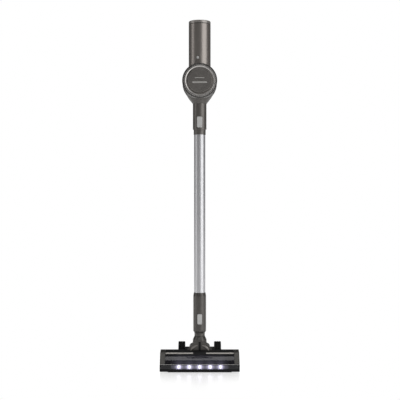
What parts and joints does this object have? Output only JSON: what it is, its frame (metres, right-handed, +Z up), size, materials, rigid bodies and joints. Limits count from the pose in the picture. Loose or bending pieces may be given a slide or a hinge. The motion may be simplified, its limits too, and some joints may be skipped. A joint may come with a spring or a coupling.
{
  "type": "cordless stick vacuum",
  "caption": "Upright cordless stick vacuum: lit floor head with rear wheels, tilting neck, metal wand, disc motor unit, dust cup and rear handle.",
  "frame": {"origin": "on the floor under the middle of the whole object's box", "axes": "+Z up along the wand, -Y to the front of the floor head, +X to the right as seen from the front"},
  "size_m": [0.25, 0.185, 1.1105],
  "materials": {
    "titanium_shell": "satin metallic paint",
    "head_shell": "satin",
    "black_plastic": "fine texture",
    "handle_plastic": "soft-touch",
    "smoked_clear": "smoked clear",
    "cup_clear": "smoked clear",
    "silver_trim": "satin metallised",
    "button_grey": "satin",
    "wand_aluminium": "anodised",
    "motor_aluminium": "turned",
    "fan_plastic": "moulded",
    "steel": "ground",
    "bronze": "sintered",
    "rubber": "matt",
    "tyre_rubber": "matt",
    "felt": "felt",
    "brush_pile": "pile",
    "filter_media": "pleated",
    "steel_mesh": "etched mesh",
    "lamp_white": "lit",
    "cell_wrap": "film wrap",
    "circuit_board": "lacquer",
    "copper": "plated",
    "display_gloss": "gloss"
  },
  "bodies": {
    "head": {"front_band": "black_plastic", "lamp_lens": "smoked_clear", "lamps": "lamp_white", "roller_window": "smoked_clear", "trim_strips": "silver_trim", "head_cover": "head_shell", "end_caps": "head_shell", "sole_plate": "black_plastic", "head_screws": "steel", "felt_lips": "felt", "head_frame": "black_plastic", "brush_motor": "steel", "drive_belt": "rubber", "wheel_arms": "black_plastic", "pivot_pins": "steel", "roller_bearings": "bronze"},
    "roller": {"roller_core": "fan_plastic", "roller_brush": "brush_pile"},
    "belt_pulley": {"motor_pulley": "bronze"},
    "wheel_left": {"wheel_hub_left": "black_plastic", "wheel_tyre_left": "tyre_rubber"},
    "wheel_right": {"wheel_hub_right": "black_plastic", "wheel_tyre_right": "tyre_rubber"},
    "yoke": {"tilt_yoke": "titanium_shell"},
    "neck": {"neck_shell": "titanium_shell"},
    "lower_release": {"lower_button": "button_grey"},
    "wand": {"wand_tube": "wand_aluminium", "wand_ends": "handle_plastic", "wand_wiring": "copper"},
    "hand_unit": {"inlet_socket": "titanium_shell", "motor_housing": "titanium_shell", "dirty_air_duct": "black_plastic", "exhaust_grille": "titanium_shell", "motor_can": "motor_aluminium", "motor_mounts": "rubber", "motor_carrier": "black_plastic", "handle_shell_left": "handle_plastic", "handle_shell_right": "handle_plastic", "control_board": "circuit_board", "display_panel": "display_gloss", "battery_dock": "black_plastic"},
    "upper_release": {"upper_button": "button_grey"},
    "power_trigger": {"trigger": "button_grey"},
    "mode_key": {"mode_button": "button_grey"},
    "fan": {"impeller": "fan_plastic"},
    "exhaust_cover": {"front_cover": "titanium_shell", "emblem_bars": "silver_trim", "accent_ring": "silver_trim", "exhaust_filter": "filter_media"},
    "cup": {"dust_cup": "cup_clear", "mesh_shroud": "steel_mesh", "pleated_filter": "filter_media", "lid_seal": "rubber", "lid_hinge_pin": "steel"},
    "cup_release": {"cup_button": "button_grey"},
    "lid": {"dust_lid": "titanium_shell", "lid_clasp": "silver_trim"},
    "battery": {"battery_case": "handle_plastic", "battery_cells": "cell_wrap"},
    "battery_release": {"battery_latch": "button_grey"}
  },
  "joints": [
    {"name": "roller_spin", "type": "hinge", "parent": "head", "child": "roller", "pos_m": [0, -0.0585, 0.023], "axis": [-1, 0, 0], "continuous": true},
    {"name": "belt_pulley_spin", "type": "hinge", "parent": "head", "child": "belt_pulley", "pos_m": [0.08, -0.006, 0.022], "axis": [-1, 0, 0], "continuous": true},
    {"name": "wheel_left_spin", "type": "hinge", "parent": "head", "child": "wheel_left", "pos_m": [-0.0586, 0.0558, 0.0367], "axis": [-1, 0, 0], "continuous": true},
    {"name": "wheel_right_spin", "type": "hinge", "parent": "head", "child": "wheel_right", "pos_m": [0.0586, 0.0558, 0.0367], "axis": [-1, 0, 0], "continuous": true},
    {"name": "neck_tilt", "type": "hinge", "parent": "head", "child": "yoke", "pos_m": [0, -0.0125, 0.046], "axis": [-1, 0, 0], "range_deg": [0, 80]},
    {"name": "neck_swivel", "type": "hinge", "parent": "yoke", "child": "neck", "pos_m": [0, -0.0125, 0.1], "axis": [0, 0, 1], "range_deg": [-80, 80]},
    {"name": "lower_release_press", "type": "slide", "parent": "neck", "child": "lower_release", "axis": [0, 1, 0], "range_m": [0, 0.0015], "stiffness_N_per_m": 300, "springref_m": -0.004},
    {"name": "wand_pull", "type": "slide", "parent": "neck", "child": "wand", "axis": [0, 0, 1], "range_m": [0, 0.085]},
    {"name": "hand_unit_lift", "type": "slide", "parent": "wand", "child": "hand_unit", "axis": [0, 0, 1], "range_m": [0, 0.08]},
    {"name": "upper_release_press", "type": "slide", "parent": "hand_unit", "child": "upper_release", "axis": [0, 1, 0], "range_m": [0, 0.0025], "stiffness_N_per_m": 300, "springref_m": -0.004},
    {"name": "trigger_pull", "type": "slide", "parent": "hand_unit", "child": "power_trigger", "axis": [0, 1, 0], "range_m": [0, 0.004], "stiffness_N_per_m": 500, "springref_m": -0.004},
    {"name": "mode_press", "type": "slide", "parent": "hand_unit", "child": "mode_key", "axis": [0, 0, -1], "range_m": [0, 0.001], "stiffness_N_per_m": 300, "springref_m": -0.004},
    {"name": "fan_spin", "type": "hinge", "parent": "hand_unit", "child": "fan", "pos_m": [0, -0.0125, 0.9135], "axis": [0, -1, 0], "continuous": true},
    {"name": "cover_twist", "type": "hinge", "parent": "hand_unit", "child": "exhaust_cover", "pos_m": [0, -0.0725, 0.9135], "axis": [0, -1, 0], "range_deg": [0, 30]},
    {"name": "cup_lift", "type": "slide", "parent": "hand_unit", "child": "cup", "axis": [0, 0, 1], "range_m": [0, 0.06]},
    {"name": "cup_release_press", "type": "slide", "parent": "cup", "child": "cup_release", "axis": [0, 1, 0], "range_m": [0, 0.0018], "stiffness_N_per_m": 300, "springref_m": -0.004},
    {"name": "lid_open", "type": "hinge", "parent": "cup", "child": "lid", "pos_m": [0, 0.0261, 1.104], "axis": [-1, 0, 0], "range_deg": [0, 100]},
    {"name": "battery_slide", "type": "slide", "parent": "hand_unit", "child": "battery", "axis": [0, 1, 0], "range_m": [0, 0.055]},
    {"name": "battery_release_press", "type": "slide", "parent": "battery", "child": "battery_release", "axis": [0, -1, 0], "range_m": [0, 0.0012], "stiffness_N_per_m": 300, "springref_m": -0.004}
  ],
  "couplings": [
    {"joint": "belt_pulley_spin", "follows": "roller_spin", "ratio": 2}
  ]
}
